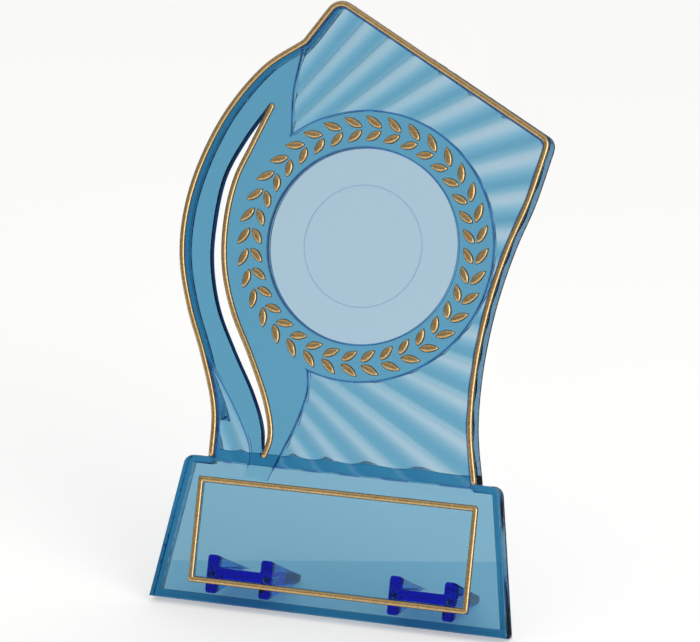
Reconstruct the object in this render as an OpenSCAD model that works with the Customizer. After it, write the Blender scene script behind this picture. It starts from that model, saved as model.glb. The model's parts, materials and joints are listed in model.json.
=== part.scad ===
// Leaning plaque trophy moulded in clear blue plastic.
//
// A pennant-shaped blade rises from a low, broad base. Its left side is a
// smooth ribbon split by an S-shaped slot, its right side is a fan of
// flutes, and a wreath ring in the middle carries a round seat for a centre
// disc. The raised edges are gilded. Two H-section feet push onto pegs
// behind the base and lean the plaque back.
//
// Everything is drawn flat on the plaque first: X to its right, Y up its
// face and Z out of its face, with Z = 0 at the top of the gilded edges.
// lean_back() then stands it up.

/* [Base] */
// Width of the base along its bottom edge
base_w = 95.4; // [90:0.2:100]
// Width of the base across its shoulders
base_top_w = 83.2; // [78:0.2:86]
// Height of the base, measured up the face
base_h = 37.3; // [35:0.1:39]
// Radius of the two shoulders
shoulder_r = 2.6; // [1:0.1:5]
// Thickness of the base's face plate
base_plate_t = 2.3; // [1.6:0.1:2.6]
// Thickness of the wall around the base
base_wall_t = 1.9; // [1.2:0.1:2]

/* [Blade] */
// Depth of the moulding behind the gilded edges
shell_depth = 7; // [6:0.1:10]
// Width of the rim around the blade
rim_w = 1.7; // [1.5:0.1:2.6]
// Thickness of the ribbon and the wreath ring
ribbon_t = 3.4; // [3:0.1:4.5]
// Rounding of the peak
peak_r = 4.4; // [3:0.1:5]
// Rounding of the right-hand corner
corner_r = 3.1; // [2.8:0.1:4]

/* [Centre disc seat] */
// Height of the disc's centre above the bottom edge, up the face
disc_y = 94.5; // [93:0.1:96]
// Diameter of the seat for the centre disc
disc_d = 50.4; // [46:0.1:51]
// Depth of the seat below the ring
disc_recess = 1.2; // [0.6:0.1:1.6]
// Diameter of the fine moulding line in the floor of the seat
disc_line_d = 31.2; // [20:0.2:40]
// Width of that line
disc_line_w = 0.3; // [0.2:0.05:0.5]
// Depth of that line
disc_line_depth = 0.2; // [0.1:0.05:0.3]
// Thickness of the floor of the seat
disc_floor_t = 1.3; // [1:0.1:1.6]
// Outside diameter of the wreath ring
ring_d = 69.2; // [68:0.2:70]

/* [Flutes] */
// Angle from one flute to the next
flute_pitch = 5.5; // [5:0.1:7]
// How far the crests lie below the ribbon
crest_drop = 0.3; // [0.1:0.1:0.5]
// Depth of a flute in the face for each millimetre along it
face_slope = 0.0075; // [0.005:0.0005:0.012]
// Greatest depth of a flute in the face
face_depth = 0.5; // [0.3:0.1:0.6]
// Depth of a flute in the back for each millimetre along it
back_slope = 0.014; // [0.01:0.001:0.02]
// Greatest depth of a flute in the back
back_depth = 1.3; // [0.8:0.1:1.5]

/* [Gilding] */
// Width of the gilded beads
bead_w = 1.5; // [1:0.1:1.7]
// Height of the gilded beads and leaves above the ribbon
bead_h = 0.7; // [0.4:0.1:1]
// Width of the nameplate frame, to the middle of its bead
frame_w = 73; // [66:0.5:74]
// Height of the nameplate frame, to the middle of its bead
frame_h = 25.8; // [20:0.2:26]
// Pairs of leaves around the wreath
leaf_pairs = 36; // [24:1:36]
// Width of a leaf at its foot
leaf_w = 2; // [1.2:0.1:2.2]

/* [Feet] */
// Distance from the middle of the plaque to the middle of each foot
foot_x = 24.4; // [20:0.1:30]
// Distance between the two plates of a foot
foot_gauge = 14.4; // [10:0.1:16]
// Thickness of a foot's plates
foot_plate_t = 3.2; // [2.8:0.1:4]
// Height of a foot's plates where they meet the plaque
foot_plate_h = 10; // [9:0.1:10]
// Thickness of the web between the plates
foot_web_t = 3.5; // [2.5:0.1:4]
// Height of a foot's middle above the bottom edge, up the face
foot_y = 7.35; // [7.3:0.05:8]
// Thickness of a foot at its tip
foot_tip_t = 2; // [1.5:0.1:3]
// Distance from the gilded edges back to the tips of the feet
foot_reach = 29; // [26:0.5:34]
// Diameter of the pegs that the feet push onto
peg_d = 1.6; // [1.4:0.1:1.8]
// Length of the pegs
peg_l = 7; // [5:0.5:8]

/* [Hidden] */
$fn = 96;
e = 0.01;                       // overlap that keeps cuts clean
spline_steps = 4;               // straight pieces between two knots of a curve

// Levels, as heights above the top of the gilding
ribbon_z = -bead_h;
ribbon_back = ribbon_z - ribbon_t;
base_z = ribbon_z - 0.5;
base_back = base_z - base_plate_t;
disc_z = ribbon_z - disc_recess;
crest_z = ribbon_z - crest_drop;
flute_back = ribbon_back + back_depth;

// The foot's tip and the base's rear edge both stand on the ground, which
// settles how far the plaque leans back
tip_low = foot_y - foot_tip_t / 2;
lean = atan(tip_low / (foot_reach - shell_depth));
peg_gap = 0.05;                 // radial clearance of a foot on its pegs
seat_gap = 0.05;                // between a foot and the base's back

// The main lines of the face, as knots of smooth curves
left_edge = [[-35.2, 37.2], [-35.8, 49.5], [-40, 62.5], [-45.2, 75], [-48.6, 87.5],
             [-48.8, 100], [-46, 113], [-40.2, 126.5], [-31.3, 138.6], [-21, 146.2]];
peak = [-12.9, 158.1];
right_corner = [46.7, 125];
right_edge = [[46.1, 122.2], [42.9, 109], [39, 97.4], [36, 85.5], [34.2, 74],
              [33.4, 62], [33.9, 50], [36.3, 37.2]];
slot_left = [[-28.1, 129.5], [-34.3, 119.7], [-38.9, 109.5], [-40.4, 98], [-40.1, 87],
             [-37.1, 75.5], [-31.7, 65], [-25.6, 54.6], [-22, 46], [-21.2, 38.2]];
slot_bead = [[-27.3, 129.2], [-31.9, 118], [-35.5, 108.5], [-36.9, 97.5], [-36, 86],
             [-32.4, 75], [-26.5, 64], [-21.3, 53], [-19.1, 44.5], [-20.4, 38.2]];
ribbon_top = [[-20.4, 150], [-21.2, 142], [-22.3, 132], [-21.6, 121]];
ribbon_right = [[-11, 62], [-10.6, 56], [-12.6, 48], [-15.4, 41], [-18.8, 32.6]];
ribbon_left = [[-39, 63], [-33.4, 56], [-28.3, 48.4], [-24.9, 41.8], [-24.2, 37], [-25.4, 32.6]];
ribbon_tail = [[-30, 30], [-10, 38]];  // the ribbon runs down onto the base's face here
blade_foot = 36.3;              // where the blade's face meets the base's face
foot_opening = [-34.5, 35];     // the hollows of blade and base join between these
cross_wall_t = 3;               // wall behind the foot of the blade
frame_y = 18.5;                 // middle of the nameplate frame
flute_origin = [-55, 90];       // the flutes fan out from here
flute_reach = 125;
flute_turn = 1;                 // angle of the middle flute
crest_half_angle = 0.15;        // each crest stays flat this far to both sides
flutes_each_way = 12;
bead_margin = 0.05;             // between a bead and the blade's edge
ridge_margin = 0.1;             // the frame's ridge shows this far beside its bead
field_inset = bead_w + 0.2;     // from the blade's edge to the fluted field

// Radii of the two rows of leaves, from foot to tip, and their place in turn
outer_leaves = [30.4, 33.3];
inner_leaves = [29.6, 26.9];
leaf_phase = 0.57;              // of the angle from one leaf to the next
leaf_lean = 0.8;                // of that angle, from a leaf's foot to its tip

// ---- Curves ----
function unit(v) = v / norm(v);
function reverse(list) = [for (i = [len(list) - 1 : -1 : 0]) list[i]];
function last(list) = len(list) - 1;

// Point at t between knots b and c of a smooth curve through a, b, c and d
function blend(a, b, c, d, t) =
    0.5 * (2 * b + (c - a) * t + (2 * a - 5 * b + 4 * c - d) * t * t
           + (3 * b - a - 3 * c + d) * t * t * t);

// A smooth curve through all the knots
function curve(knots, steps = spline_steps) = [
    for (i = [0 : last(knots) - 1], j = [0 : steps - 1])
        let (a = i > 0 ? knots[i - 1] : 2 * knots[0] - knots[1],
             d = i < last(knots) - 1 ? knots[i + 2]
                 : 2 * knots[last(knots)] - knots[last(knots) - 1])
        blend(a, knots[i], knots[i + 1], d, j / steps),
    knots[last(knots)]];

// Arc of radius r that rounds the corner p between a and b
function rounded(a, p, b, r, steps = 8) =
    let (u = unit(a - p), w = unit(b - p), half = acos(u * w) / 2,
         centre = p + unit(u + w) * r / sin(half),
         from = p + u * r / tan(half) - centre,
         to = p + w * r / tan(half) - centre,
         start = atan2(from.y, from.x),
         turn = (atan2(to.y, to.x) - start + 540) % 360 - 180)
    [for (i = [0 : steps]) centre + r * [cos(start + turn * i / steps),
                                         sin(start + turn * i / steps)]];

// Direction across a path at one of its points, mitred at the corners
function across(path, i, closed = false) =
    let (n = len(path),
         before = i > 0 ? path[i - 1] : closed ? path[n - 1] : 2 * path[0] - path[1],
         after = i < n - 1 ? path[i + 1] : closed ? path[0] : 2 * path[n - 1] - path[n - 2],
         u = unit(path[i] - before), w = unit(after - path[i]), middle = unit(u + w))
    [middle.y, -middle.x] / (middle * u);

// The path moved sideways, to the right of its travel
function beside(path, d, closed = false) =
    [for (i = [0 : last(path)]) path[i] + d * across(path, i, closed)];

// ---- Outlines ----
left_curve = curve(left_edge);
blade_edge = concat(left_curve,
                    rounded(left_edge[last(left_edge)], peak, right_corner, peak_r),
                    rounded(peak, right_corner, right_edge[1], corner_r),
                    curve(right_edge));
bead_path = beside(blade_edge, bead_w / 2 + bead_margin);
slot_bead_path = curve(slot_bead);
slot_edge = beside(slot_bead_path, bead_w / 2);
frame_path = [for (s = [[-1, -1], [-1, 1], [1, 1], [1, -1]])
              [s.x * frame_w / 2, frame_y + s.y * frame_h / 2]];

// The blade's edge, or a line a little inside it, closed along its foot
module blade_outline(inset = 0) {
    path = beside(blade_edge, inset);
    polygon(concat([[path[0].x, blade_foot]], path, [[path[last(path)].x, blade_foot]]));
}

module ribbon_outline() {
    intersection() {
        polygon(concat(curve(ribbon_top), [[-5, 110], [-5, 75]], curve(ribbon_right),
                       reverse(curve(ribbon_left)), [[-60, 63], [-60, 150]]));
        union() {
            blade_outline();
            translate(ribbon_tail[0]) square(ribbon_tail[1] - ribbon_tail[0]);
        }
    }
}

module base_outline() {
    bottom = base_w / 2;
    top = base_top_w / 2;
    polygon(concat([[-bottom, 0]],
                   rounded([-bottom, 0], [-top, base_h], [top, base_h], shoulder_r),
                   rounded([-top, base_h], [top, base_h], [bottom, 0], shoulder_r),
                   [[bottom, 0]]));
}

// The hollow behind the base's face, which is higher below the blade
module base_inside() {
    slant = (base_w - base_top_w) / 2 * base_wall_t / base_h;
    bottom = base_w / 2 - base_wall_t - slant;
    top = base_top_w / 2 - base_wall_t + slant;
    polygon([[-bottom, base_wall_t], [-top, base_h - base_wall_t],
             [top, base_h - base_wall_t], [bottom, base_wall_t]]);
    translate([foot_opening[0], blade_foot - 5])
        square([foot_opening[1] - foot_opening[0], 5]);
}

// The fluted field between the ribbon, the wreath ring and the blade's edge
module field_outline(inset) {
    difference() {
        blade_outline(inset);
        ribbon_outline();
        translate([0, disc_y]) circle(d = ring_d);
    }
}

// ---- Solids on the flat plaque ----
module slab(low, high) { translate([0, 0, low]) linear_extrude(high - low) children(); }

module frame_ridge() {
    slab(base_z - e, ribbon_z) difference() {
        polygon(beside(frame_path, -bead_w / 2 - ridge_margin, true));
        polygon(beside(frame_path, bead_w / 2 + ridge_margin, true));
    }
}

module foot_pegs() {
    for (side = [-1, 1], plate = [-1, 1])
        translate([side * foot_x + plate * foot_gauge / 2, foot_y, base_back - peg_l])
            cylinder(d = peg_d, h = peg_l + 1);
}

// Shallow cones that fan out from one point, and sink by slope along them
module flutes(slope) {
    half_w = tan(flute_pitch / 2 - crest_half_angle);
    r = (half_w * half_w + slope * slope) / (2 * slope);
    tilt = atan(r - slope);
    translate([flute_origin.x, flute_origin.y, 0])
        for (i = [-flutes_each_way : flutes_each_way - 1])
            rotate([0, 0, flute_turn + i * flute_pitch]) rotate([0, 90 - tilt, 0])
                cylinder(r1 = 0, r2 = r * flute_reach, h = flute_reach);
}

module shell_walls() {
    slab(-shell_depth, ribbon_z) difference() {
        blade_outline();
        blade_outline(rim_w);
    }
    slab(-shell_depth, base_z) difference() {
        base_outline();
        base_inside();
    }
    // cross wall behind the foot of the blade
    slab(-shell_depth, flute_back + e)
        translate([foot_opening[0] - 0.5, blade_foot])
            square([foot_opening[1] - foot_opening[0] + 0.5, cross_wall_t]);
}

module face_flutes() {
    intersection() {
        slab(crest_z - face_depth, crest_z + e) field_outline(field_inset);
        translate([0, 0, crest_z]) flutes(face_slope);
    }
}

module back_flutes() {
    intersection() {
        slab(ribbon_back - e, flute_back) field_outline(rim_w / 2);
        translate([0, 0, ribbon_back]) mirror([0, 0, 1]) flutes(back_slope);
    }
}

module shell_plates() {
    difference() {
        slab(ribbon_back, ribbon_z) blade_outline();
        back_flutes();
    }
    slab(base_back, base_z) base_outline();
    slab(base_z - e, ribbon_z) ribbon_outline();
}

module disc_line() {
    translate([0, disc_y]) slab(disc_z - disc_line_depth, disc_z + e) difference() {
        circle(d = disc_line_d + disc_line_w);
        circle(d = disc_line_d - disc_line_w);
    }
}

module slot_outline() {
    polygon(concat(curve(slot_left), reverse(slot_edge)));
}

module plaque_shell() {
    color([0.25, 0.6, 0.8, 0.6]) lean_back() {
        difference() {
            union() {
                shell_plates();
                shell_walls();
            }
            slab(crest_z, 1) field_outline(field_inset);
            face_flutes();
            slab(-shell_depth - 1, 1) slot_outline();
            translate([0, disc_y, disc_z]) cylinder(d = disc_d, h = 5);
            translate([0, disc_y, disc_z - disc_floor_t - 5]) cylinder(d = disc_d, h = 5);
            disc_line();
        }
        frame_ridge();
        foot_pegs();
    }
}

// ---- Gilding ----
// A bead with a domed top that follows a path
module bead(path, closed = false) {
    dome = [for (a = [0 : 30 : 180]) [-cos(a) * bead_w / 2, sin(a) * bead_h]];
    n = len(path);
    m = len(dome);
    points = [for (i = [0 : n - 1], p = dome)
              let (q = path[i] + p.x * across(path, i, closed)) [q.x, q.y, ribbon_z + p.y]];
    sides = [for (i = [0 : n - (closed ? 1 : 2)], j = [0 : m - 1])
             let (i2 = (i + 1) % n, j2 = (j + 1) % m)
             [i * m + j, i2 * m + j, i2 * m + j2, i * m + j2]];
    ends = closed ? [] : [[for (j = [0 : m - 1]) j],
                          [for (j = [m - 1 : -1 : 0]) (n - 1) * m + j]];
    polyhedron(points, concat(sides, ends), convexity = 8);
}

module almond(length, width) {
    r = (length * length + width * width) / (4 * width);
    intersection() {
        translate([0, r - width / 2]) circle(r = r);
        translate([0, width / 2 - r]) circle(r = r);
    }
}

// One leaf from its inner tip at radius r0 to its outer tip at radius r1
module leaf(r0, r1, turn) {
    from = [r0, 0];
    to = r1 * [cos(turn), sin(turn)];
    length = norm(to - from);
    translate((from + to) / 2) rotate(atan2(to.y - from.y, to.x - from.x)) {
        slab(ribbon_z, ribbon_z + bead_h * 0.6) almond(length, leaf_w);
        slab(ribbon_z, 0) almond(length * 0.8, leaf_w * 0.65);
    }
}

module leaf_row(radii) {
    pair_turn = 360 / leaf_pairs;
    translate([0, disc_y])
        for (i = [0 : leaf_pairs - 1])
            rotate((i + leaf_phase) * pair_turn)
                leaf(radii[0], radii[1], pair_turn * leaf_lean);
}

module edge_gilding() { color("gold") lean_back() bead(bead_path); }

module slot_gilding() { color("gold") lean_back() bead(slot_bead_path); }

module nameplate_frame_gilding() { color("gold") lean_back() bead(frame_path, true); }

module outer_leaf_gilding() { color("gold") lean_back() leaf_row(outer_leaves); }

module inner_leaf_gilding() { color("gold") lean_back() leaf_row(inner_leaves); }

// ---- Feet ----
// Side view of a foot, tapering from height h at the plaque to its tip
module foot_profile(x, h, t) {
    front = base_back - seat_gap;
    translate([x - t / 2, 0, 0]) rotate([90, 0, 90]) linear_extrude(t)
        polygon([[foot_y - h / 2, front], [foot_y + h / 2, front],
                 [foot_y + foot_tip_t / 2, -foot_reach],
                 [foot_y - foot_tip_t / 2, -foot_reach]]);
}

module foot(side) {
    x = side * foot_x;
    bore_l = peg_l + 0.5;
    difference() {
        union() {
            for (plate = [-1, 1])
                foot_profile(x + plate * foot_gauge / 2, foot_plate_h, foot_plate_t);
            foot_profile(x, foot_web_t, foot_gauge);
        }
        for (plate = [-1, 1])
            translate([x + plate * foot_gauge / 2, foot_y, base_back - bore_l])
                cylinder(d = peg_d + 2 * peg_gap, h = bore_l + 1);
    }
}

module left_foot() { color([0.15, 0.4, 0.75, 0.8]) lean_back() foot(-1); }

module right_foot() { color([0.15, 0.4, 0.75, 0.8]) lean_back() foot(1); }

// ---- Placement ----
// Stands the plaque up with its origin under the middle of its outline
module lean_back() {
    left = min([for (p = blade_edge) p.x]);
    right = base_w / 2;
    top = max([for (p = blade_edge) p.y]);
    front = -base_z * cos(lean);
    back = top * sin(lean) + shell_depth * cos(lean);
    translate([-(left + right) / 2, -(front + back) / 2, shell_depth * sin(lean)])
        rotate([90 - lean, 0, 0]) children();
}

plaque_shell();
edge_gilding();
slot_gilding();
nameplate_frame_gilding();
outer_leaf_gilding();
inner_leaf_gilding();
left_foot();
right_foot();
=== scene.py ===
import json
import math

import bpy
import numpy as np
from mathutils import Matrix
from mathutils.geometry import delaunay_2d_cdt


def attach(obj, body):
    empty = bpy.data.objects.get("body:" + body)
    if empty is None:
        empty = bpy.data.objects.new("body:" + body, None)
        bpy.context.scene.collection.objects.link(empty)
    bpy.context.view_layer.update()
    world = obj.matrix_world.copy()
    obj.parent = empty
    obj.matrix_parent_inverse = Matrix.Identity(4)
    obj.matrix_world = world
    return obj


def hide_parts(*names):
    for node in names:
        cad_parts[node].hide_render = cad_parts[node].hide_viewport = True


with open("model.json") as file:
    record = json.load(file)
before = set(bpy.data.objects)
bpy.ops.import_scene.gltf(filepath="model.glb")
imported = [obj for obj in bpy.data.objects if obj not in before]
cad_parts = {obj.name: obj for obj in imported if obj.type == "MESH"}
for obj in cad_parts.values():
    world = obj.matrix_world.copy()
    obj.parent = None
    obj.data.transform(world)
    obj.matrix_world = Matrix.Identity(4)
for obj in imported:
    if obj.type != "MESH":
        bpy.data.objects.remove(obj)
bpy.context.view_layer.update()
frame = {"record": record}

# ---------------------------------------------------------------- sizes
# Millimetres on the flat plaque, as in the CAD source: X to its right, Y up
# its face, Z out of its face, with Z = 0 at the top of the gilded edges.
BASE_W, BASE_TOP_W, BASE_H, SHOULDER_R = 95.4, 83.2, 37.3, 2.6
BASE_WALL_T, SHELL_DEPTH, RIM_W = 1.9, 7.0, 1.7
PEAK_R, CORNER_R = 4.4, 3.1
DISC_Y, DISC_R, RING_R, LINE_R = 94.5, 25.2, 34.6, 15.6
LINE_HALF_W, LINE_SIDE, LINE_DEPTH = 0.13, 0.02, 0.2
BEAD_W, BEAD_H, RIDGE = 1.5, 0.7, 1.7
BEAD_MARGIN, RIDGE_MARGIN = 0.05, 0.1  # beside the edge's bead and the frame's bead
OUTER_LEAVES, INNER_LEAVES = (30.4, 33.3), (29.6, 26.9)
LEAF_PAIRS, LEAF_PHASE, LEAF_LEAN = 36, 0.57, 0.8
FRAME_W, FRAME_H, FRAME_Y = 73.0, 25.8, 18.5
BLADE_FOOT, CROSS_WALL, FOOT_OPENING = 36.3, 3.0, (-34.5, 35)
FLUTE_ORIGIN, FLUTE_PITCH, FLUTE_PHASE = (-55.0, 90.0), 5.5, 1.0
FACE_SLOPE, FACE_DEPTH, BACK_SLOPE, BACK_DEPTH = 0.0075, 0.5, 0.014, 1.3
RIBBON_Z, RIBBON_BACK = -0.7, -4.1
BASE_Z, BASE_BACK = -1.2, -3.5
DISC_Z, DISC_BACK = -1.9, -3.2
CREST_Z = -1.0
FOOT_X, FOOT_Y, FOOT_GAUGE = 24.4, 7.35, 14.4
FOOT_PLATE_T, FOOT_PLATE_H, FOOT_WEB_T, FOOT_TIP_T = 3.2, 10.0, 3.5, 2.0
FOOT_REACH, SEAT_GAP = 29.0, 0.05
PEG_R, PEG_L, BORE_R, BORE_L = 0.8, 7.0, 0.85, 7.5
STEP_W = 0.06                    # half the width of a moulded step's side
FRONT_ROUND, BEAD_ROUND, SLOT_ROUND = 0.35, 0.05, 0.15
BACK_ROUND, SLOT_BACK_ROUND, PEG_ROUND = 0.3, 0.12, 0.2
LIP = 0.12                       # height of the strip where a side wall meets a face
SINK = 0.05                      # how far the gilding reaches into the plastic
SHADE_LINE, SHADE_LINE_SIDE = 0.27, 0.09  # half the width of a step's line of painted deep blue shade
UNDERSIDE = 0.25                 # painted shade on the foil where it meets the plastic, seen from behind

LEFT_EDGE = [(-35.2, 37.2), (-35.8, 49.5), (-40, 62.5), (-45.2, 75), (-48.6, 87.5),
             (-48.8, 100), (-46, 113), (-40.2, 126.5), (-31.3, 138.6), (-21, 146.2)]
PEAK = (-12.9, 158.1)
RIGHT_CORNER = (46.7, 125)
RIGHT_EDGE = [(46.1, 122.2), (42.9, 109), (39, 97.4), (36, 85.5), (34.2, 74),
              (33.4, 62), (33.9, 50), (36.3, 37.2)]
SLOT_LEFT = [(-28.1, 129.5), (-34.3, 119.7), (-38.9, 109.5), (-40.4, 98), (-40.1, 87),
             (-37.1, 75.5), (-31.7, 65), (-25.6, 54.6), (-22, 46), (-21.2, 38.2)]
SLOT_BEAD = [(-27.3, 129.2), (-31.9, 118), (-35.5, 108.5), (-36.9, 97.5), (-36, 86),
             (-32.4, 75), (-26.5, 64), (-21.3, 53), (-19.1, 44.5), (-20.4, 38.2)]
RIBBON_TOP = [(-20.4, 150), (-21.2, 142), (-22.3, 132), (-21.6, 121)]
RIBBON_RIGHT = [(-11, 62), (-10.6, 56), (-12.6, 48), (-15.4, 41), (-18.8, 32.6)]
RIBBON_LEFT = [(-39, 63), (-33.4, 56), (-28.3, 48.4), (-24.9, 41.8), (-24.2, 37), (-25.4, 32.6)]

# ---------------------------------------------------------------- placing
seat = next(m for m in frame["record"]["mounts"] if m["name"] == "centre_disc_seat")
NORMAL = np.array(seat["axis"], float)
ACROSS = np.array([1.0, 0.0, 0.0])
UP_FACE = np.cross(NORMAL, ACROSS)
ORIGIN = np.array(seat["pos_m"], float) - (DISC_Y * UP_FACE + DISC_Z * NORMAL) / 1000


def to_world(points):
    """Plaque millimetres to metres in the shared frame."""
    p = np.asarray(points, float) / 1000
    return ORIGIN + p[:, :1] * ACROSS + p[:, 1:2] * UP_FACE + p[:, 2:] * NORMAL


def world_direction(v):
    return v[0] * ACROSS + v[1] * UP_FACE + v[2] * NORMAL


# ---------------------------------------------------------------- curves
def unit(v):
    return v / np.linalg.norm(v)


def curve(knots, steps=12):
    """A smooth curve through all the knots."""
    k = np.array(knots, float)
    k = np.vstack([2 * k[0] - k[1], k, 2 * k[-1] - k[-2]])
    t = (np.arange(steps) / steps)[:, None]
    parts = []
    for a, b, c, d in zip(k, k[1:], k[2:], k[3:]):
        parts.append(0.5 * (2 * b + (c - a) * t + (2 * a - 5 * b + 4 * c - d) * t ** 2
                            + (3 * b - a - 3 * c + d) * t ** 3))
    return np.vstack(parts + [k[-2:-1]])


def rounded(a, p, b, r, steps=10):
    """Arc of radius r that rounds the corner p between a and b."""
    a, p, b = (np.array(v, float) for v in (a, p, b))
    u, w = unit(a - p), unit(b - p)
    half = math.acos(u @ w) / 2
    centre = p + unit(u + w) * r / math.sin(half)
    first, final = (p + v * r / math.tan(half) - centre for v in (u, w))
    start = math.atan2(first[1], first[0])
    turn = (math.atan2(final[1], final[0]) - start + 3 * math.pi) % (2 * math.pi) - math.pi
    angles = start + turn * np.linspace(0, 1, steps + 1)
    return centre + r * np.column_stack([np.cos(angles), np.sin(angles)])


def resample(path, step, closed=False):
    """The path again, in even steps that keep its first and last point."""
    path = np.array(path, float)
    if closed:
        path = np.vstack([path, path[:1]])
    length = np.concatenate([[0], np.cumsum(np.linalg.norm(np.diff(path, axis=0), axis=1))])
    count = max(2, int(round(length[-1] / step)) + 1)
    at = np.linspace(0, length[-1], count)
    out = np.column_stack([np.interp(at, length, path[:, i]) for i in range(path.shape[1])])
    return out[:-1] if closed else out


def across(path, closed=False):
    """Mitred direction across the path, to the right of its travel."""
    if closed:
        before, after = path - np.roll(path, 1, axis=0), np.roll(path, -1, axis=0) - path
    else:
        step = np.diff(path, axis=0)
        before, after = np.vstack([step[:1], step]), np.vstack([step, step[-1:]])
    before /= np.linalg.norm(before, axis=1)[:, None]
    after /= np.linalg.norm(after, axis=1)[:, None]
    middle = before + after
    middle /= np.linalg.norm(middle, axis=1)[:, None]
    side = np.column_stack([middle[:, 1], -middle[:, 0]])
    return side / (middle * before).sum(1)[:, None]


def beside(path, d, closed=False):
    """The path moved sideways, to the right of its travel."""
    return path + d * across(path, closed)


def circle(r, centre=(0.0, DISC_Y), step=0.8):
    """A round outline with points about a step apart."""
    count = max(24, int(2 * math.pi * r / step))
    a = np.arange(count) * 2 * math.pi / count
    return np.column_stack([centre[0] + r * np.cos(a), centre[1] + r * np.sin(a)])


def in_chunks(points, work):
    """Work on the points a few thousand at a time, to spare memory."""
    return np.concatenate([work(points[s:s + 4000]) for s in range(0, len(points), 4000)])


def distance(points, path, closed=False):
    """Distance from each point to the nearest stretch of a path."""
    a = path if closed else path[:-1]
    ab = (np.roll(path, -1, axis=0) if closed else path[1:]) - a
    inverse = 1 / np.maximum((ab ** 2).sum(1), 1e-12)

    def work(p):
        p = p[:, None, :] - a[None]
        t = np.clip((p * ab).sum(2) * inverse, 0, 1)
        return np.sqrt(((p - t[..., None] * ab) ** 2).sum(2).min(1))
    return in_chunks(points, work)


def inside(points, loop):
    """Whether each point lies inside a closed outline."""
    a, b = loop, np.roll(loop, -1, axis=0)
    rise = np.where(b[:, 1] == a[:, 1], 1e-9, b[:, 1] - a[:, 1])

    def work(p):
        x, y = p[:, :1], p[:, 1:]
        crosses = (a[:, 1] > y) != (b[:, 1] > y)
        at = a[:, 0] + (b[:, 0] - a[:, 0]) * (y - a[:, 1]) / rise
        return (crosses & (x < at)).sum(1) % 2 == 1
    return in_chunks(points, work)


def signed(points, loop):
    """Distance to a closed outline, positive inside it."""
    return np.where(inside(points, loop), 1, -1) * distance(points, loop, closed=True)


def step_up(d, w=STEP_W):
    """0 below -w, 1 above w and a smooth rise between."""
    t = np.clip((d + w) / (2 * w), 0, 1)
    return t * t * (3 - 2 * t)


def corner_drop(d, r):
    """How far a corner rounded to radius r has dropped at distance d from its edge."""
    inward = np.clip(r - d, 0, r)
    return r - np.sqrt(r * r - inward * inward)


def mix(a, b, t):
    return a + (b - a) * t


# ---------------------------------------------------------------- outlines
blade_edge = resample(np.vstack([
    curve(LEFT_EDGE),
    rounded(LEFT_EDGE[-1], PEAK, RIGHT_CORNER, PEAK_R),
    rounded(PEAK, RIGHT_CORNER, RIGHT_EDGE[1], CORNER_R),
    curve(RIGHT_EDGE)]), 0.7)
blade_loop = np.vstack([blade_edge, [(RIGHT_EDGE[-1][0], 20), (LEFT_EDGE[0][0], 20)]])
slot_bead = resample(curve(SLOT_BEAD), 0.7)
slot_right = beside(slot_bead, BEAD_W / 2)
slot_left = resample(curve(SLOT_LEFT), 0.7)
slot_loop = np.vstack([slot_left, slot_right[::-1]])
frame_path = np.array([(s * FRAME_W / 2, FRAME_Y + t * FRAME_H / 2)
                       for s, t in ((-1, -1), (-1, 1), (1, 1), (1, -1))])
ribbon_top = resample(curve(RIBBON_TOP), 0.7)
ribbon_right = resample(curve(RIBBON_RIGHT), 0.7)
ribbon_left = resample(curve(RIBBON_LEFT), 0.7)
ribbon_loop = np.vstack([ribbon_top, [(-5, 110), (-5, 75)], ribbon_right,
                         ribbon_left[::-1], [(-60, 63), (-60, 150)]])
bottom, top = BASE_W / 2, BASE_TOP_W / 2
base_loop = resample(np.vstack([
    [(-bottom, 0)],
    rounded((-bottom, 0), (-top, BASE_H), (top, BASE_H), SHOULDER_R),
    rounded((-top, BASE_H), (top, BASE_H), (bottom, 0), SHOULDER_R),
    [(bottom, 0)]]), 0.9, closed=True)
base_loop[np.argmin(np.linalg.norm(base_loop - (bottom, 0), axis=1))] = (bottom, 0)
slant = (bottom - top) * BASE_WALL_T / BASE_H
bottom, top = bottom - BASE_WALL_T - slant, top - BASE_WALL_T + slant
ceiling = BASE_H - BASE_WALL_T
base_inner = np.array([(-bottom, BASE_WALL_T), (-top, ceiling), (FOOT_OPENING[0], ceiling),
                       (FOOT_OPENING[0], BLADE_FOOT), (FOOT_OPENING[1], BLADE_FOOT),
                       (FOOT_OPENING[1], ceiling), (top, ceiling), (bottom, BASE_WALL_T)])
pegs = [(side * FOOT_X + plate * FOOT_GAUGE / 2, FOOT_Y)
        for side in (-1, 1) for plate in (-1, 1)]


# ---------------------------------------------------------------- surfaces
def edge_depth(p):
    """Distance in from the blade's edge."""
    return np.where(inside(p, blade_loop), 1, -1) * distance(p, blade_edge)


def flute_depth(x, y, slope, most):
    """Depth of the flutes' waves, which are a little steeper on one side."""
    x, y = x - FLUTE_ORIGIN[0], y - FLUTE_ORIGIN[1]
    phase = np.radians(360 * (np.degrees(np.arctan2(y, x)) - FLUTE_PHASE) / FLUTE_PITCH)
    phase = phase + 0.14 * (1 - np.cos(phase))
    return np.minimum(slope * np.hypot(x, y), most) * (0.5 + 0.5 * np.cos(phase))


def flute_field(p, inset):
    """1 in the fluted field, 0 outside it."""
    x, y = p.T
    ring = step_up(np.hypot(x, y - DISC_Y) - RING_R)
    return step_up(edge_depth(p) - inset) * step_up(-signed(p, ribbon_loop)) * ring


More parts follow.
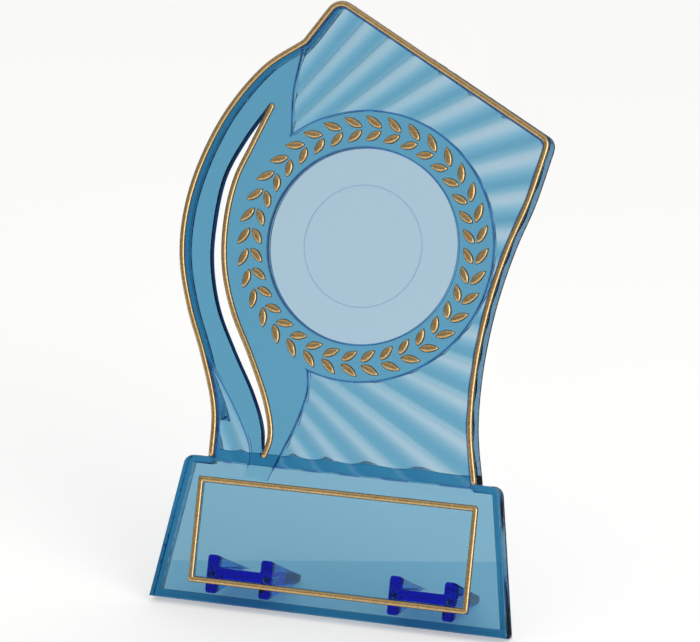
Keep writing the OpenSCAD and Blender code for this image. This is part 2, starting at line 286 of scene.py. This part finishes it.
def front_level(p):
    """Height of the face at each point."""
    x, y = p.T
    r = np.hypot(x, y - DISC_Y)
    edge = edge_depth(p)
    above_foot = step_up(y - BLADE_FOOT)
    ribbon = signed(p, ribbon_loop)
    blade = step_up(edge + STEP_W) * above_foot
    tail = step_up(ribbon) * (y < 37)
    ridge = step_up(BEAD_W / 2 + RIDGE_MARGIN - distance(p, frame_path, closed=True))
    raised = np.maximum(np.maximum(blade, tail), ridge)
    base = BASE_Z - corner_drop(signed(p, base_loop), FRONT_ROUND)
    z = mix(base, RIBBON_Z - corner_drop(edge, BEAD_ROUND) * blade, raised)
    flutes = CREST_Z - flute_depth(x, y, FACE_SLOPE, FACE_DEPTH)
    z = mix(z, flutes, flute_field(p, RIDGE) * above_foot)
    z = mix(z, DISC_Z, step_up(DISC_R - r))
    z = z - LINE_DEPTH * step_up(LINE_HALF_W - np.abs(r - LINE_R), LINE_SIDE)
    return z - corner_drop(distance(p, slot_left), SLOT_ROUND)


def back_level(p):
    """Height of the back at each point."""
    x, y = p.T
    r = np.hypot(x, y - DISC_Y)
    edge = edge_depth(p)
    outline = signed(p, base_loop)
    on_blade = (edge > -1e-6) & (y > BLADE_FOOT)
    flutes = flute_depth(x, y, BACK_SLOPE, BACK_DEPTH) * flute_field(p, RIM_W)
    z = np.where(on_blade, RIBBON_BACK + flutes, BASE_BACK)
    z = mix(z, DISC_BACK, step_up(DISC_R - r))
    rim = step_up(RIM_W - edge) * on_blade
    wall = step_up(-signed(p, base_inner)) * (outline > -1e-6)
    cross = step_up(BLADE_FOOT + CROSS_WALL - y) * step_up(y - BLADE_FOOT)
    cross = cross * (np.abs(x) < 35)
    z = mix(z, -SHELL_DEPTH, np.maximum(np.maximum(rim, wall), cross))
    peg = np.min([np.hypot(x - px, y - py) for px, py in pegs], axis=0)
    tip = BASE_BACK - PEG_L + corner_drop(PEG_R - peg, PEG_ROUND)
    z = mix(z, tip, step_up(PEG_R - peg, 0.04))
    silhouette = np.where(on_blade & (outline < 0), edge, outline)
    silhouette = np.where(on_blade & (outline > 0), np.maximum(edge, outline), silhouette)
    z = z + corner_drop(np.maximum(silhouette, 0), BACK_ROUND)
    return z + corner_drop(distance(p, slot_loop, closed=True), SLOT_BACK_ROUND)


# ---------------------------------------------------------------- the moulding's mesh
def shell_lines():
    """Every line of the moulding, with copies beside it that shape its step."""
    step = [-0.36, -0.18, -STEP_W, -STEP_W / 2, 0, STEP_W / 2, STEP_W, 0.18, 0.36]
    corner = [0, 0.02, 0.08, 0.18, 0.3, 0.42]
    lines = []
    rims = sorted({w + d for w in (RIDGE, RIM_W) for d in step})
    for d in corner + [-STEP_W, -2 * STEP_W] + rims:
        lines.append((beside(blade_edge, d), False))
    for d in corner:
        lines.append((beside(base_loop, d, closed=True), True))
    for d in step:
        lines.append((resample([(-36.5, BLADE_FOOT + d), (37.2, BLADE_FOOT + d)], 0.8), False))
        lines.append((resample([(-35, BLADE_FOOT + CROSS_WALL + d),
                                (35, BLADE_FOOT + CROSS_WALL + d)], 0.8), False))
        lines.append((beside(base_inner, d, closed=True), True))
        lines += [(circle(RING_R + d), True), (circle(DISC_R + d), True)]
        lines += [(beside(path, d), False) for path in (ribbon_top, ribbon_right, ribbon_left)]
        for side in (-1, 1):
            at = side * (BEAD_W / 2 + RIDGE_MARGIN) + d
            lines.append((beside(frame_path, at, closed=True), True))
    lines += [(circle(LINE_R + side * (LINE_HALF_W + d)), True)
              for side in (-1, 1) for d in (-LINE_SIDE, 0, LINE_SIDE, 0.1)]
    for d in (0, 0.02, 0.06, 0.12, 0.2):
        lines += [(beside(slot_left, d), False), (beside(slot_right, -d), False)]
    for centre in pegs:
        lines += [(circle(PEG_R + d, centre), True)
                  for d in (-0.3, -0.15, -0.06, -0.04, 0, 0.04, 0.08, 0.2)]
    return lines


def flute_points():
    """A fan of points that carries the flutes' waves."""
    angle = np.radians(np.arange(-72, 60, FLUTE_PITCH / 11))
    reach = np.arange(14, 126, 2.2)
    a, r = (v.ravel() for v in np.meshgrid(angle, reach))
    p = np.column_stack([FLUTE_ORIGIN[0] + r * np.cos(a), FLUTE_ORIGIN[1] + r * np.sin(a)])
    apart = STEP_W + 0.3
    keep = (edge_depth(p) > RIDGE + apart) & (signed(p, ribbon_loop) < -apart)
    keep &= (np.hypot(p[:, 0], p[:, 1] - DISC_Y) > RING_R + apart)
    keep &= p[:, 1] > BLADE_FOOT + apart
    return p[keep]


def painted_wall_shade(p):
    """Painted deep blue shade: 1 along the steps of the face, where the moulding's side walls show, and
    0 between them.
    """
    x, y = p.T
    r = np.hypot(x, y - DISC_Y)
    in_ring, edge, ribbon = RING_R - r, edge_depth(p), signed(p, ribbon_loop)
    reach = 0.4                  # how far a line may run on past the one that it meets
    off_ring, off_rim, off_ribbon = in_ring < reach, edge > RIDGE - reach, ribbon < reach
    far = 9                      # further than any line is wide
    near = np.abs(r - DISC_R)
    near = np.minimum(near, np.where(off_ring & off_rim & (y > BLADE_FOOT - 1), np.abs(ribbon), far))
    near = np.minimum(near, np.where(off_rim & off_ribbon, np.abs(in_ring), far))
    near = np.minimum(near, np.where(off_ring & off_ribbon, np.abs(edge - RIDGE), far))
    share = step_up(SHADE_LINE - near, SHADE_LINE_SIDE)
    # painted shadow dashes where a flute's valley dips below the face of the base
    sunk = CREST_Z - flute_depth(x, y, FACE_SLOPE, FACE_DEPTH) < BASE_Z - 0.05
    at_foot = step_up(0.3 - np.abs(y - BLADE_FOOT), 0.1)
    share = np.maximum(share, 0.9 * at_foot * sunk * off_ribbon * (edge > RIDGE))
    # painted shade on the fine line in the seat, half as deep in colour
    line = 0.5 * step_up(0.19 - np.abs(r - LINE_R), 0.04)
    return np.maximum(share, line)


def moulding():
    """Vertices and faces of the whole clear moulding, and the painted shade where its walls show."""
    points, edges = [], []
    for line, closed in shell_lines():
        first = len(points)
        points += [tuple(q) for q in line]
        edges += [(i, i + 1) for i in range(first, len(points) - 1)]
        if closed:
            edges.append((len(points) - 1, first))
    points += [tuple(q) for q in flute_points()]
    flat, _, faces, *_ = delaunay_2d_cdt(points, edges, [], 0, 1e-3, False)
    flat = np.array([(v[0], v[1]) for v in flat])
    faces = np.array(faces)
    middle = flat[faces].mean(axis=1)
    keep = (inside(middle, blade_loop) & (middle[:, 1] > BLADE_FOOT)) | inside(middle, base_loop)
    keep &= ~inside(middle, slot_loop)
    faces = faces[keep]
    used, faces = np.unique(faces, return_inverse=True)
    flat, faces = flat[used], faces.reshape(-1, 3)
    n = len(flat)
    front, back = front_level(flat), back_level(flat)
    verts = [np.column_stack([flat, front]), np.column_stack([flat, back])]
    sides = np.vstack([faces[:, [0, 1]], faces[:, [1, 2]], faces[:, [2, 0]]])
    known = set(map(tuple, sides))
    border = [(a, b) for a, b in sides if (b, a) not in known]
    on_border = sorted({a for a, _ in border})
    upper = {v: 2 * n + i for i, v in enumerate(on_border)}
    lower = {v: 2 * n + len(on_border) + i for i, v in enumerate(on_border)}
    verts.append(np.column_stack([flat[on_border], front[on_border] - LIP]))
    verts.append(np.column_stack([flat[on_border], back[on_border] + LIP]))
    out = [tuple(f) for f in faces] + [tuple(f + n) for f in faces[:, ::-1]]
    for a, b in border:
        out.append((b, a, upper[a], upper[b]))
        out.append((upper[b], upper[a], lower[a], lower[b]))
        out.append((lower[b], lower[a], a + n, b + n))
    # painted deep blue shade: along the face's steps, none on the back, 0.4 on the side walls
    walls = np.concatenate([painted_wall_shade(flat), np.zeros(n), np.full(2 * len(on_border), 0.4)])
    return np.vstack(verts), out, walls


# ---------------------------------------------------------------- gilding
def bead(path, closed=False):
    """A domed bead with rounded ends, and the painted shade of its foil towards its foot."""
    path = resample(path, 0.55, closed)
    n = len(path)
    side = across(path, closed)
    angles = np.radians([0, 9, 22, 38, 56, 74, 90, 106, 124, 142, 158, 171, 180])
    shape = np.column_stack([-np.cos(angles), np.sin(angles) ** 0.85])
    shape = np.vstack([[(-0.985, -SINK / BEAD_H)], shape, [(0.985, -SINK / BEAD_H)]])
    m = len(shape)
    if closed:
        grow = np.ones(n)
    else:
        along = np.concatenate([[0], np.cumsum(np.linalg.norm(np.diff(path, axis=0), axis=1))])
        to_end = np.minimum(along, along[-1] - along) / (BEAD_W / 2)
        inward = np.clip(1 - to_end, 0, 1)
        grow = np.maximum(np.sqrt(1 - inward ** 2), 0.12)
    verts, foot_shade = [], []
    for i in range(n):
        w = BEAD_W / 2 * grow[i]
        for s, h in shape:
            x, y = path[i] + s * w * side[i]
            verts.append((x, y, RIBBON_Z + h * BEAD_H * (grow[i] if h > 0 else 1)))
            # painted shade: 0 on the crest, rising to 1 at the foot, UNDERSIDE beneath
            foot_shade.append(1 - min(1, h) if h >= 0 else UNDERSIDE)
    faces = []
    for i in range(n if closed else n - 1):
        j = (i + 1) % n
        for k in range(m):
            after = (k + 1) % m
            faces.append((i * m + k, i * m + after, j * m + after, j * m + k))
    if not closed:
        faces.append(tuple(range(m))[::-1])
        faces.append(tuple((n - 1) * m + k for k in range(m)))
    return np.array(verts), faces, foot_shade


def leaf(tip_in, tip_out, width=2.2, height=0.68):
    """One domed leaf with pointed ends, a crest and a flat underside."""
    start, end = np.array(tip_in), np.array(tip_out)
    along, length = unit(end - start), np.linalg.norm(end - start)
    over = np.array([-along[1], along[0]])
    ns, nt = 14, 10
    verts, foot_shade = [], []
    for i in range(1, ns):
        s = -math.cos(math.pi * i / ns)
        half = width / 2 * (1 - s * s) ** 0.8 * (1 - 0.12 * s)
        bow = 0.1 * (1 - s * s)
        for j in range(nt + 1):
            t = -math.cos(math.pi * j / nt)
            p = (start + end) / 2 + along * s * length / 2 + over * (half * t + bow)
            rise = (1 - abs(t) ** 4) ** 0.8 * (1 - s ** 6) ** 0.7
            verts.append((*p, RIBBON_Z + height * rise))
            # painted shade: 0 on the crest, rising towards the edges and tips
            foot_shade.append(1 - rise)
    rows = ns - 1
    cols = nt + 1
    top = rows * cols
    for i in range(rows):
        for j in (0, nt):
            x, y, _ = verts[i * cols + j]
            verts.append((x, y, RIBBON_Z - SINK))
            foot_shade.append(UNDERSIDE)
    for p in (start, end):
        verts.append((*p, RIBBON_Z))
        verts.append((*p, RIBBON_Z - SINK))
        foot_shade += [1, UNDERSIDE]
    a, a_low, b, b_low = range(len(verts) - 4, len(verts))
    faces = []
    for i in range(rows - 1):
        for j in range(nt):
            here, above = i * cols + j, (i + 1) * cols + j
            faces.append((here, above, above + 1, here + 1))
        lo, hi = top + 2 * i, top + 2 * (i + 1)
        faces.append((i * cols, lo, hi, (i + 1) * cols))
        faces.append(((i + 1) * cols + nt, hi + 1, lo + 1, i * cols + nt))
        faces.append((lo, lo + 1, hi + 1, hi))
    final = (rows - 1) * cols
    for j in range(nt):
        faces.append((a, j, j + 1))
        faces.append((b, final + j + 1, final + j))
    low_a, low_b = top, top + 2 * (rows - 1)
    faces += [(a, a_low, low_a, 0), (nt, low_a + 1, a_low, a), (a_low, low_a + 1, low_a),
              (final, low_b, b_low, b), (b, b_low, low_b + 1, final + nt), (b_low, low_b, low_b + 1)]
    return np.array(verts), faces, foot_shade


def leaf_row(radii):
    """All the leaves of one row, each from its inner tip to its outer tip."""
    verts, faces, foot_shade = [], [], []
    turn = 2 * math.pi / LEAF_PAIRS
    for i in range(LEAF_PAIRS):
        a = (i + LEAF_PHASE) * turn
        tips = [(r * math.cos(t), DISC_Y + r * math.sin(t))
                for r, t in zip(radii, (a, a + LEAF_LEAN * turn))]
        leaf_verts, leaf_faces, leaf_shade = leaf(*tips)
        faces += [tuple(k + len(foot_shade) for k in face) for face in leaf_faces]
        verts.append(leaf_verts)
        foot_shade += leaf_shade
    return np.vstack(verts), faces, foot_shade


# ---------------------------------------------------------------- feet
def h_outline(x, plate_half, web_half, r, inset):
    """The H of a foot seen end on, with rounded corners, always with as many points."""
    inner = FOOT_GAUGE / 2 - FOOT_PLATE_T / 2 + inset
    out = FOOT_GAUGE / 2 + FOOT_PLATE_T / 2 - inset
    corners = [(-out, -plate_half), (-inner, -plate_half), (-inner, -web_half), (inner, -web_half),
               (inner, -plate_half), (out, -plate_half), (out, plate_half), (inner, plate_half),
               (inner, web_half), (-inner, web_half), (-inner, plate_half), (-out, plate_half)]
    fillet = [2, 3, 8, 9]
    path = []
    for i, p in enumerate(corners):
        a, b = corners[i - 1], corners[(i + 1) % len(corners)]
        room = 0.48 * min(np.linalg.norm(np.subtract(p, a)), np.linalg.norm(np.subtract(p, b)))
        size = max(0.02, min(r * (0.5 if i in fillet else 1), room))
        path.append(rounded(a, p, b, size, 5))
    path = np.vstack(path)
    return path + (x, FOOT_Y)


def foot(side):
    """Vertices and faces of one H-section foot with its two bores."""
    x = side * FOOT_X
    front = BASE_BACK - SEAT_GAP
    length = FOOT_REACH + front

    def section(z, inset):
        t = (front - z) / length
        plate = mix(FOOT_PLATE_H / 2, FOOT_TIP_T / 2, t) - inset
        web = min(mix(FOOT_WEB_T / 2, FOOT_TIP_T / 2, t) - inset, plate - 0.03)
        return h_outline(x, plate, web, min(0.8, plate * 0.45), inset)

    levels = [(front, 0.3), (front - 0.03, 0.17), (front - 0.12, 0.05), (front - 0.3, 0)]
    levels += [(z, 0) for z in np.linspace(front - 2.5, -FOOT_REACH + 2.5, 8)]
    levels += [(-FOOT_REACH + 0.3, 0), (-FOOT_REACH + 0.12, 0.05),
               (-FOOT_REACH + 0.03, 0.17), (-FOOT_REACH, 0.3)]
    rings = [section(z, inset) for z, inset in levels]
    m = len(rings[0])
    verts = [np.column_stack([ring, np.full(m, z)]) for ring, (z, _) in zip(rings, levels)]
    faces = []
    for i in range(len(levels) - 1):
        for k in range(m):
            after = (k + 1) % m
            faces.append((i * m + k, (i + 1) * m + k, (i + 1) * m + after, i * m + after))
    total = len(levels) * m
    holes = []
    for plate in (-1, 1):
        centre = (x + plate * FOOT_GAUGE / 2, FOOT_Y)
        rim = circle(BORE_R + 0.15, centre, 0.2)
        count = len(rim)
        inner = circle(BORE_R, centre, 0.2)
        if len(inner) != count:
            a = np.arange(count) * 2 * math.pi / count
            inner = np.array(centre) + BORE_R * np.column_stack([np.cos(a), np.sin(a)])
        depth = [front, front - 0.15, front - 0.4, front - BORE_L + 0.2, front - BORE_L]
        for loop, z in zip([rim, inner, inner, inner, inner], depth):
            verts.append(np.column_stack([loop, np.full(count, z)]))
        verts.append(np.array([[*centre, front - BORE_L]]))
        holes.append((total, count, rim))
        for i in range(4):
            for k in range(count):
                after = (k + 1) % count
                a, b = total + i * count, total + (i + 1) * count
                faces.append((a + k, a + after, b + after, b + k))
        last, centre_id = total + 4 * count, total + 5 * count
        for k in range(count):
            faces.append((last + k, last + (k + 1) % count, centre_id))
        total += 5 * count + 1
    faces += cap(rings[0], 0, holes)
    faces += [f[::-1] for f in cap(rings[-1], (len(levels) - 1) * m, [])]
    return np.vstack(verts), faces


def cap(loop, first, holes):
    """Triangles that close an outline, apart from its round holes."""
    points = [tuple(p) for p in loop]
    ids = list(range(first, first + len(loop)))
    edges = [(i, (i + 1) % len(loop)) for i in range(len(loop))]
    for start, count, rim in holes:
        at = len(points)
        points += [tuple(p) for p in rim]
        ids += list(range(start, start + count))
        edges += [(at + i, at + (i + 1) % count) for i in range(count)]
    flat, _, faces, source, *_ = delaunay_2d_cdt(points, edges, [], 0, 1e-6, True)
    flat = np.array([(v[0], v[1]) for v in flat])
    faces = np.array(faces)
    middle = flat[faces].mean(axis=1)
    keep = inside(middle, loop)
    for _, _, rim in holes:
        keep &= ~inside(middle, rim)
    back_to = [ids[s[0]] for s in source]
    return [tuple(back_to[k] for k in f) for f in faces[keep]]


# ---------------------------------------------------------------- materials
def new_material(name):
    mat = bpy.data.materials.new(name)
    mat.use_nodes = True
    nodes, links = mat.node_tree.nodes, mat.node_tree.links
    shader = nodes["Principled BSDF"]
    place = nodes.new("ShaderNodeTexCoord")
    return mat, nodes, links, shader, place.outputs["Object"]


def noise(nodes, links, place, scale, detail=3.0, rough=0.5):
    tex = nodes.new("ShaderNodeTexNoise")
    tex.inputs["Scale"].default_value = scale
    tex.inputs["Detail"].default_value = detail
    tex.inputs["Roughness"].default_value = rough
    links.new(place, tex.inputs["Vector"])
    return tex.outputs["Fac"]


def tinted(nodes, links, share, base, other):
    """A colour that turns from base to other with share; base is a colour or a socket."""
    node = nodes.new("ShaderNodeMix")
    node.data_type = "RGBA"
    first, second = [socket for socket in node.inputs if socket.type == "RGBA"]
    links.new(share, node.inputs["Factor"])
    if isinstance(base, tuple):
        first.default_value = (*base, 1)
    else:
        links.new(base, first)
    second.default_value = (*other, 1)
    return next(socket for socket in node.outputs if socket.type == "RGBA")


def spread(nodes, links, value, low, high, to_low, to_high):
    node = nodes.new("ShaderNodeMapRange")
    limits = {"From Min": low, "From Max": high, "To Min": to_low, "To Max": to_high}
    for key, number in limits.items():
        node.inputs[key].default_value = number
    links.new(value, node.inputs["Value"])
    return node.outputs["Result"]


def bumps(nodes, links, height, strength, size, under=None):
    node = nodes.new("ShaderNodeBump")
    node.inputs["Strength"].default_value = strength
    node.inputs["Distance"].default_value = size
    links.new(height, node.inputs["Height"])
    if under is not None:
        links.new(under, node.inputs["Normal"])
    return node.outputs["Normal"]


def clear_plastic(name, surface, wall, tint, density):
    """Clear moulded plastic that takes its colour from its thickness, with painted deep blue shade
    where its walls show.
    """
    mat, nodes, links, shader, place = new_material(name)
    # the wall values carry painted shade, mixed into the surface colour
    walls = nodes.new("ShaderNodeAttribute")
    walls.attribute_name = "wall"
    skin_with_shade = tinted(nodes, links, walls.outputs["Fac"], surface, wall)
    links.new(skin_with_shade, shader.inputs["Base Color"])
    shader.inputs["Transmission Weight"].default_value = 1
    shader.inputs["IOR"].default_value = 1.49
    patches = noise(nodes, links, place, 90, 4, 0.6)
    links.new(spread(nodes, links, patches, 0.35, 0.75, 0.02, 0.08), shader.inputs["Roughness"])
    swirl = noise(nodes, links, place, 160, 2, 0.4)
    dust = nodes.new("ShaderNodeTexVoronoi")
    dust.inputs["Scale"].default_value = 420
    dust.inputs["Randomness"].default_value = 1
    links.new(place, dust.inputs["Vector"])
    specks = spread(nodes, links, dust.outputs["Distance"], 0.05, 0.12, 1, 0)
    rare = nodes.new("ShaderNodeMath")
    rare.operation = "MULTIPLY"
    links.new(specks, rare.inputs[0])
    links.new(spread(nodes, links, patches, 0.56, 0.62, 0, 1), rare.inputs[1])
    normal = bumps(nodes, links, swirl, 0.25, 0.00006)
    links.new(bumps(nodes, links, rare.outputs["Value"], 0.5, 0.00005, normal), shader.inputs["Normal"])
    inside_node = nodes.new("ShaderNodeVolumeAbsorption")
    inside_node.inputs["Color"].default_value = (*tint, 1)
    inside_node.inputs["Density"].default_value = density
    links.new(inside_node.outputs["Volume"], nodes["Material Output"].inputs["Volume"])
    return mat


def gold_foil(name):
    """Hot-stamped foil with painted shade: brown along the foot of each bead and leaf."""
    mat, nodes, links, shader, place = new_material(name)
    shader.inputs["Metallic"].default_value = 0.78
    patches = noise(nodes, links, place, 1500, 3, 0.5)
    tone = nodes.new("ShaderNodeValToRGB")
    tone.color_ramp.elements[0].position = 0.32
    tone.color_ramp.elements[0].color = (0.52, 0.33, 0.12, 1)
    tone.color_ramp.elements[1].position = 0.68
    tone.color_ramp.elements[1].color = (0.72, 0.50, 0.23, 1)
    links.new(patches, tone.inputs["Fac"])
    # painted shade towards the foot of each bead and leaf, with a ragged edge
    foot_shade = nodes.new("ShaderNodeAttribute")
    foot_shade.attribute_name = "foot_shade"
    ragged = nodes.new("ShaderNodeMath")
    ragged.operation = "MULTIPLY_ADD"
    links.new(patches, ragged.inputs[0])
    ragged.inputs[1].default_value = 0.5
    links.new(foot_shade.outputs["Fac"], ragged.inputs[2])
    shaded_foot = spread(nodes, links, ragged.outputs["Value"], 0.45, 0.8, 0, 0.97)
    # the dark brown is painted shade
    foil = tinted(nodes, links, shaded_foot, tone.outputs["Color"], (0.10, 0.045, 0.012))
    links.new(foil, shader.inputs["Base Color"])
    grain = noise(nodes, links, place, 2600, 2, 0.5)
    links.new(spread(nodes, links, grain, 0.3, 0.7, 0.22, 0.34), shader.inputs["Roughness"])
    shader.inputs["Coat Weight"].default_value = 0.5
    shader.inputs["Coat Roughness"].default_value = 0.2
    links.new(bumps(nodes, links, grain, 0.35, 0.00004), shader.inputs["Normal"])
    return mat


def pale_floor(name):
    """A pale light table, which glows a little so that shadows on it stay faint."""
    mat, nodes, links, shader, place = new_material(name)
    soft = noise(nodes, links, place, 3, 2, 0.5)
    tone = nodes.new("ShaderNodeValToRGB")
    tone.color_ramp.elements[0].color = (0.90, 0.90, 0.90, 1)
    tone.color_ramp.elements[1].color = (0.92, 0.92, 0.92, 1)
    links.new(soft, tone.inputs["Fac"])
    links.new(tone.outputs["Color"], shader.inputs["Base Color"])
    shader.inputs["Roughness"].default_value = 0.9
    shader.inputs["Specular IOR Level"].default_value = 0.1
    shader.inputs["Emission Color"].default_value = (1, 1, 1, 1)
    shader.inputs["Emission Strength"].default_value = 0.385
    return mat


# ---------------------------------------------------------------- pieces
def add_piece(name, verts, faces, material, body, replaced, share=None, values=()):
    """Adds one piece, with a value for each vertex if share names one."""
    mesh = bpy.data.meshes.new(name)
    mesh.from_pydata(to_world(verts).tolist(), [], [tuple(int(k) for k in f) for f in faces])
    mesh.validate()
    mesh.polygons.foreach_set("use_smooth", [True] * len(mesh.polygons))
    if share:
        layer = mesh.attributes.new(share, "FLOAT", "POINT")
        layer.data.foreach_set("value", np.array(values, np.float32))
    mesh.materials.append(material)
    obj = bpy.data.objects.new(name, mesh)
    bpy.context.scene.collection.objects.link(obj)
    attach(obj, body)
    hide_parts(*replaced)
    return obj


# the second colour is the painted deep blue shade of the moulding's steps and walls
blue = clear_plastic("clear_blue_plastic", (0.96, 0.83, 0.87), (0.04, 0.16, 0.5),
                     (0.04, 0.62, 0.78), 635)
deep_blue = clear_plastic("foot_blue_plastic", (0.5, 0.85, 1), (0.5, 0.85, 1),
                          (0.038, 0.635, 0.977), 520)
foil = gold_foil("gold_foil")

verts, faces, walls = moulding()
add_piece("clear_moulding", verts, faces, blue, "plaque", ["plaque_shell"],
          "wall", walls)
for name, shape, node in (
        ("edge_bead", bead(beside(blade_edge, BEAD_W / 2 + BEAD_MARGIN)), "edge_gilding"),
        ("slot_bead", bead(slot_bead), "slot_gilding"),
        ("frame_bead", bead(frame_path, closed=True), "nameplate_frame_gilding"),
        ("outer_leaves", leaf_row(OUTER_LEAVES), "outer_leaf_gilding"),
        ("inner_leaves", leaf_row(INNER_LEAVES), "inner_leaf_gilding")):
    verts, faces, shaded_foot = shape
    add_piece(name, verts, faces, foil, "plaque", [node], "foot_shade", shaded_foot)
for name, side in (("left", -1), ("right", 1)):
    verts, faces = foot(side)
    add_piece(name + "_foot_piece", verts, faces, deep_blue, "foot_" + name,
              [name + "_foot"])

# ---------------------------------------------------------------- floor, light, camera
bpy.ops.mesh.primitive_plane_add(size=12, location=(0, 3, 0))
floor = bpy.context.object
floor.name = "floor"
floor.data.materials.append(pale_floor("pale_floor"))

world = bpy.data.worlds.new("studio")
bpy.context.scene.world = world
world.use_nodes = True
nodes, links = world.node_tree.nodes, world.node_tree.links
where = nodes.new("ShaderNodeTexCoord")
split = nodes.new("ShaderNodeSeparateXYZ")
links.new(where.outputs["Generated"], split.inputs["Vector"])


def ramp(value, low, high, to_low, to_high):
    """A soft rise of the studio's light with direction."""
    node = nodes.new("ShaderNodeMapRange")
    node.interpolation_type = "SMOOTHSTEP"
    limits = {"From Min": low, "From Max": high, "To Min": to_low, "To Max": to_high}
    for key, number in limits.items():
        node.inputs[key].default_value = number
    links.new(value, node.inputs["Value"])
    return node.outputs["Result"]


def brighter(a, b):
    """The brighter of two shares of the studio's light."""
    node = nodes.new("ShaderNodeMath")
    node.operation = "MAXIMUM"
    links.new(a, node.inputs[0])
    links.new(b, node.inputs[1])
    return node.outputs["Value"]


# dim in front and at the left, brighter overhead and at the right, full behind
overhead = ramp(split.outputs["Z"], 0.3, 0.9, 0.18, 0.6)
at_right = ramp(split.outputs["X"], -0.1, 0.5, 0, 0.6)
behind = ramp(split.outputs["Y"], 0.2, 0.7, 0, 1)
links.new(brighter(brighter(overhead, at_right), behind), nodes["Background"].inputs["Strength"])
nodes["Background"].inputs["Color"].default_value = (1, 0.99, 0.975, 1)


def softbox(name, azimuth, elevation, width, height, radiance, away=1.2):
    """A soft light in metres, aimed at the plaque; azimuth 0 is in front, 90 at its right."""
    a, e = math.radians(azimuth), math.radians(elevation)
    out = np.array([math.sin(a) * math.cos(e), -math.cos(a) * math.cos(e), math.sin(e)])
    side = unit(np.cross((0, 0, 1), out))
    light = bpy.data.lights.new(name, "AREA")
    light.shape = "RECTANGLE"
    light.size, light.size_y = width, height
    light.energy = radiance * math.pi * width * height
    obj = bpy.data.objects.new(name, light)
    bpy.context.scene.collection.objects.link(obj)
    turned = np.column_stack([side, np.cross(out, side), out])
    obj.matrix_world = Matrix.Translation((out * away + (0, 0, 0.08)).tolist()) \
        @ Matrix(turned.tolist()).to_4x4()


def card(name, corners, faces, colour, glow, seen_by):
    """A studio card in metres that the camera itself never sees."""
    mesh = bpy.data.meshes.new(name)
    mesh.from_pydata(corners, [], faces)
    mat, _, _, shader, _ = new_material(name)
    shader.inputs["Base Color"].default_value = (*colour, 1)
    shader.inputs["Emission Color"].default_value = (*colour, 1)
    shader.inputs["Emission Strength"].default_value = glow
    mesh.materials.append(mat)
    obj = bpy.data.objects.new(name, mesh)
    bpy.context.scene.collection.objects.link(obj)
    obj.visible_camera = obj.visible_diffuse = obj.visible_shadow = False
    obj.visible_glossy = seen_by == "reflections"
    obj.visible_transmission = seen_by == "refractions"


softbox("softbox_right", azimuth=50, elevation=16, width=0.66, height=0.9, radiance=2.8)
# Behind and to the right, so that the walls that face right stay deep blue
card("black_card",
     [(0.049, -0.03, 0.001), (1.2, -0.03, 0.001), (1.2, 2, 0.001), (-0.5, 2, 0.001),
      (-0.5, 2, 1), (1.2, 2, 1)],
     [(0, 1, 2, 3), (3, 2, 5, 4)], (0.01, 0.01, 0.01), 0, "reflections")
# A painted shadow: a tinted card that glows a little, flat behind the base and seen only through the
# plastic, so that the base's lower part looks deeper in colour than its upper part
card("shade_card",
     [(-0.085, -0.024, 0.0001), (0.049, -0.024, 0.0001), (0.056, 0.0475, 0.0001),
      (-0.085, -0.0025, 0.0001)],
     [(0, 1, 2, 3)], (0.62, 0.77, 0.83), 0.4, "refractions")

# Light that bounces along inside the clear walls needs many turns to get out
bpy.context.scene.cycles.max_bounces = 32
bpy.context.scene.cycles.transmission_bounces = 32

# The camera, by its turn, tilt and roll from the plaque's own normal in degrees, and
# the point on the plaque that it looks at, its distance and its lens in millimetres
TURN, TILT, ROLL = (math.radians(angle) for angle in (16.85855, -1.67659, -5.76292))
AIM, AWAY = (-0.809, 75.214, 0), 751.82
SENSOR, LENS = 36, 152.4246
back = np.array([math.sin(TURN) * math.cos(TILT), math.sin(TILT), math.cos(TURN) * math.cos(TILT)])
right = np.array([math.cos(TURN), 0, -math.sin(TURN)])
up = np.cross(back, right)
image_right = right * math.cos(ROLL) - up * math.sin(ROLL)
image_up = right * math.sin(ROLL) + up * math.cos(ROLL)
camera = bpy.data.objects.new("camera", bpy.data.cameras.new("camera"))
camera.data.sensor_width, camera.data.lens = SENSOR, LENS
camera.data.clip_start, camera.data.clip_end = 0.05, 50
bpy.context.scene.collection.objects.link(camera)
turned = np.column_stack([world_direction(v) for v in (image_right, image_up, back)])
camera.matrix_world = Matrix.Translation(to_world([np.array(AIM) + AWAY * back])[0].tolist()) \
    @ Matrix(turned.tolist()).to_4x4()
bpy.context.scene.camera = camera
bpy.context.scene.view_settings.view_transform = "Standard"
